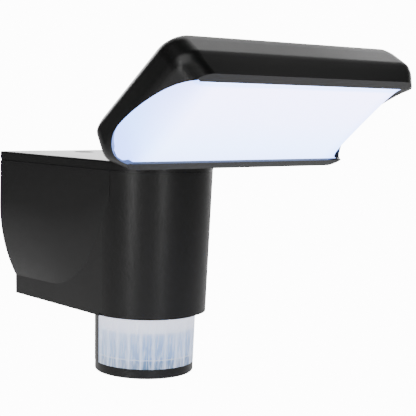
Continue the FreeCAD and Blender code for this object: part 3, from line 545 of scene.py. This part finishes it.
def lensMaterial():
    look = lensLook
    material, tree, shader = startMaterial("milkyLensPaintedGlow", IOR=1.5, Subsurface_Weight=look["subsurface"],
                                           Subsurface_Scale=look["subsurfaceDepth"],
                                           Sheen_Weight=look["sheen"], Sheen_Roughness=look["sheenRoughness"],
                                           Emission_Strength=look["paintedGlow"])
    height, level, angle = lensCoordinates(tree)
    color = rampNode(tree, level, look["tones"])
    # facets: three to a band in the top tier, one to a band below, with painted highlights along their borders
    narrow = mathNode(tree, "GREATER_THAN", level, look["topTier"])
    facetsPerBand = mathNode(tree, "ADD", mathNode(tree, "MULTIPLY", narrow, look["narrowing"]), 1.0)
    facet = mathNode(tree, "MULTIPLY", mathNode(tree, "DIVIDE", angle, bandAngle), facetsPerBand)
    fromMiddle = mathNode(tree, "ABSOLUTE", mathNode(tree, "SUBTRACT", mathNode(tree, "FRACT", facet), 0.5))
    # painted highlight, paler towards each facet's borders
    paintedEdgeHighlights = greyRamp(tree, fromMiddle, look["paintedHighlightFrom"], 0.5, look["paintedEdgeHighlight"])
    color = mixColor(tree, paintedEdgeHighlights, color, look["milk"])
    pick = addNode(tree, "ShaderNodeTexWhiteNoise", noise_dimensions="1D")
    tree.links.new(mathNode(tree, "FLOOR", facet), pick.inputs["W"])
    paler = mathNode(tree, "MULTIPLY", pick.outputs["Value"], look["facetTone"])
    color = mixColor(tree, paler, color, look["milk"])
    # upright streaks of uneven milkiness
    stretch = tree.nodes.new("ShaderNodeCombineXYZ")
    tree.links.new(mathNode(tree, "MULTIPLY", angle, look["streakAcross"]), stretch.inputs["X"])
    tree.links.new(mathNode(tree, "MULTIPLY", height, look["streakAlong"]), stretch.inputs["Z"])
    noise = addNode(tree, "ShaderNodeTexNoise", Scale=look["streakScale"], Detail=look["streakDetail"])
    tree.links.new(stretch.outputs[0], noise.inputs["Vector"])
    streaks = greyRamp(tree, noise.outputs["Fac"], look["streakFrom"], look["streakTo"], look["streakTone"])
    color = mixColor(tree, streaks, color, look["milk"])
    # a pale line between the tiers
    gaps = [mathNode(tree, "ABSOLUTE", mathNode(tree, "SUBTRACT", level, look[tier]))
            for tier in ("topTier", "lowTier")]
    line = mathNode(tree, "LESS_THAN", mathNode(tree, "MINIMUM", *gaps), look["tierLine"])
    color = mixColor(tree, mathNode(tree, "MULTIPLY", line, look["tierLineTone"]), color, look["line"])
    tree.links.new(color, shader.inputs["Base Color"])
    # the lens glows with painted light in the same colour
    tree.links.new(color, shader.inputs["Emission Color"])
    surface = useGroup(tree, mouldedGroup, Grain_Size=look["grain"], Roughness=look["roughness"],
                       Variation=look["variation"])
    tree.links.new(surface.outputs["Roughness"], shader.inputs["Roughness"])
    addBump(tree, shader, surface.outputs["Height"], look["bump"], look["depth"])
    return material


materials["lens_milky"] = lensMaterial()
sensorLens(materials["lens_milky"])
print("sensor lens ready")


# materials onto the carried pieces
slotOf = {row["node"]: row["material_slot"] for row in frame["record"]["subparts"]}
for nodeName, node in nodes.items():
    node.data.materials.clear()
    node.data.materials.append(materials[slotOf[nodeName]])
print("materials placed")


# pale floor and backdrop, soft studio light
# floorDrop is the gap under the lamp; seen, behind, beside and ahead are strengths of light
# the room's places run from 0 behind the camera to 1 behind the lamp, its sweep in shares of behind
studio = {"floorDrop": 0.12, "floorSize": 4.0, "floorColor": (0.95, 0.95, 0.95, 1.0), "floorRoughness": 0.6,
          "floorGlow": 0.28, "seen": 13.0, "behind": 7.0, "beside": 0.16, "ahead": 0.014,
          "aheadUntil": 0.62, "besideAt": 0.80, "sweep": [(0.94, 0.30), (0.98, 1.0), (1.0, 1.0)]}


def seenWhite(tree, surface, strength):
    # plain white straight to the camera, the given surface for everything else
    path = tree.nodes.new("ShaderNodeLightPath")
    white = tree.nodes.new("ShaderNodeEmission")
    white.inputs["Strength"].default_value = strength
    mix = tree.nodes.new("ShaderNodeMixShader")
    tree.links.new(path.outputs["Is Camera Ray"], mix.inputs[0])
    tree.links.new(surface, mix.inputs[1])
    tree.links.new(white.outputs[0], mix.inputs[2])
    return mix.outputs[0]


def makeFloor():
    bm = bmesh.new()
    bmesh.ops.create_grid(bm, x_segments=2, y_segments=2, size=studio["floorSize"])
    bmesh.ops.translate(bm, verts=bm.verts, vec=(0.0, 0.0, cadBox[0].z - studio["floorDrop"]))
    mesh = bpy.data.meshes.new("floor")
    bm.to_mesh(mesh)
    bm.free()
    floor = linkObject("floor", mesh)
    material, tree, shader = startMaterial("paleFloor", Roughness=studio["floorRoughness"],
                                           Base_Color=studio["floorColor"],
                                           Emission_Color=studio["floorColor"],
                                           Emission_Strength=studio["floorGlow"])
    output = tree.nodes["Material Output"]
    # from underneath the floor is clear, so that the lamp can be looked at from below
    clear = tree.nodes.new("ShaderNodeBsdfTransparent")
    side = tree.nodes.new("ShaderNodeNewGeometry")
    pick = tree.nodes.new("ShaderNodeMixShader")
    tree.links.new(side.outputs["Backfacing"], pick.inputs[0])
    tree.links.new(seenWhite(tree, shader.outputs[0], studio["seen"]), pick.inputs[1])
    tree.links.new(clear.outputs[0], pick.inputs[2])
    tree.links.new(pick.outputs[0], output.inputs["Surface"])
    mesh.materials.append(material)


def makeWorld():
    # a light sweep behind the lamp and a dim room on the camera's side
    world = bpy.data.worlds.new("studioWorld")
    bpy.context.scene.world = world
    world.use_nodes = True
    tree = world.node_tree
    room = tree.nodes["Background"]
    direction = tree.nodes.new("ShaderNodeTexCoord").outputs["Generated"]
    facing = tree.nodes.new("ShaderNodeVectorMath")
    facing.operation = "DOT_PRODUCT"
    facing.inputs[1].default_value = cameraSettings["forward"]
    tree.links.new(direction, facing.inputs[0])
    share = mathNode(tree, "ADD", mathNode(tree, "MULTIPLY", facing.outputs["Value"], 0.5), 0.5)
    ahead = studio["ahead"] / studio["behind"]
    beside = studio["beside"] / studio["behind"]
    tones = [(0.0, ahead), (studio["aheadUntil"], ahead), (studio["besideAt"], beside), *studio["sweep"]]
    color = rampNode(tree, share, [(place, (tone, tone, tone)) for place, tone in tones], "EASE")
    tree.links.new(color, room.inputs["Color"])
    room.inputs["Strength"].default_value = studio["behind"]
    output = tree.nodes["World Output"]
    tree.links.new(seenWhite(tree, room.outputs[0], studio["seen"]), output.inputs["Surface"])


# each light: its place, its width and height, its power, and its color where it isn't white
lights = {
    "topLight": {"place": (0.55, 0.35, 0.80), "size": (0.5, 0.5), "power": 0.8},
    "cornerLight": {"place": (-0.75, -0.50, 0.80), "size": (1.0, 0.8), "power": 4.8},
    "fillLight": {"place": (0.65, -0.38, 0.80), "size": (0.4, 0.4), "power": 0.30},
    "leftLight": {"place": (-1.10, -0.44, 0.20), "size": (0.07, 0.8), "power": 2.3},
    "frontLight": {"place": (-0.33, -1.26, 0.20), "size": (0.06, 0.8), "power": 2.0},
    "lowLight": {"place": (-0.9, 0.0, -0.95), "size": (0.5, 0.5), "power": 1.7, "color": (0.80, 0.88, 1.0)},
    "backLight": {"place": (0.15, 1.3, 0.55), "size": (0.7, 0.5), "power": 4.0},
    "farSideLight": {"place": (1.2, 0.35, 0.45), "size": (0.3, 0.8), "power": 2.4},
}


def areaLight(name, light, target):
    data = bpy.data.lights.new(name, "AREA")
    data.shape = "RECTANGLE"
    data.size, data.size_y = light["size"]
    data.energy = light["power"]
    data.color = light.get("color", (1.0, 1.0, 1.0))
    lamp = linkObject(name, data)
    lamp.location = light["place"]
    lamp.rotation_euler = (target - Vector(light["place"])).to_track_quat("-Z", "Y").to_euler()


makeFloor()
makeWorld()
centre = (cadBox[0] + cadBox[1]) / 2
for lightName, light in lights.items():
    areaLight(lightName, light, centre)
print("studio ready")
